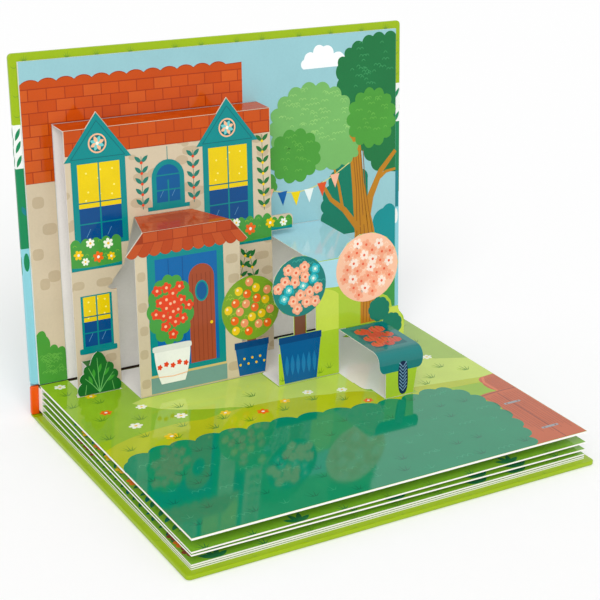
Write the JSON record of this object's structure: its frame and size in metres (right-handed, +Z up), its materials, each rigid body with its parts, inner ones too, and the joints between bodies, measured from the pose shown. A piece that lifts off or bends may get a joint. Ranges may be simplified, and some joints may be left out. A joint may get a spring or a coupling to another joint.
{
  "type": "pop up book",
  "caption": "Hardcover landscape pop-up book, open at its first spread, with a die-cut folded cottage, porch, garden screen and barrow rising between two pages.",
  "frame": {"origin": "bottom centre of the box around the open book", "axes": "+X along the hinge, left to right for a reader; +Y to the back, behind the standing front cover; +Z up"},
  "size_m": [0.26, 0.22, 0.2109],
  "materials": {
    "lime_wrap": "grey board covered with printed paper, soft gloss film",
    "orange_wrap": "grey board covered with printed paper, soft gloss film",
    "leaf_card": "white coated card, cut edges",
    "white_card": "white card, unprinted",
    "meadow_print": "printed coated card, gloss",
    "sky_print": "printed coated card, gloss",
    "cottage_print": "printed coated card, gloss, white reverse",
    "porch_print": "printed coated card, gloss, white reverse",
    "garden_print": "printed coated card, gloss, white reverse",
    "barrow_print": "printed coated card, gloss, white reverse",
    "shrub_print": "printed coated card, gloss, white reverse"
  },
  "bodies": {
    "back_cover": {"back_cover": "lime_wrap", "rear_pastedown": "leaf_card"},
    "page_block": {"spine_board": "orange_wrap", "page_block": "leaf_card", "floor_sheet": "meadow_print", "house_popup": "cottage_print", "porch_popup": "porch_print", "garden_popup": "garden_print", "barrow_popup": "barrow_print", "leaf_shrub_popup": "shrub_print"},
    "front_cover": {"front_cover": "lime_wrap", "front_base_page": "white_card", "backdrop_sheet": "sky_print"}
  },
  "joints": [
    {"name": "back_cover_hinge", "type": "hinge", "parent": "back_cover", "child": "page_block", "pos_m": [0, 0.08997, 0], "axis": [-1, 0, 0], "range_deg": [0, 84]},
    {"name": "front_cover_hinge", "type": "hinge", "parent": "page_block", "child": "front_cover", "pos_m": [0, 0.08997, 0.01973], "axis": [-1, 0, 0], "range_deg": [0, 89]}
  ]
}
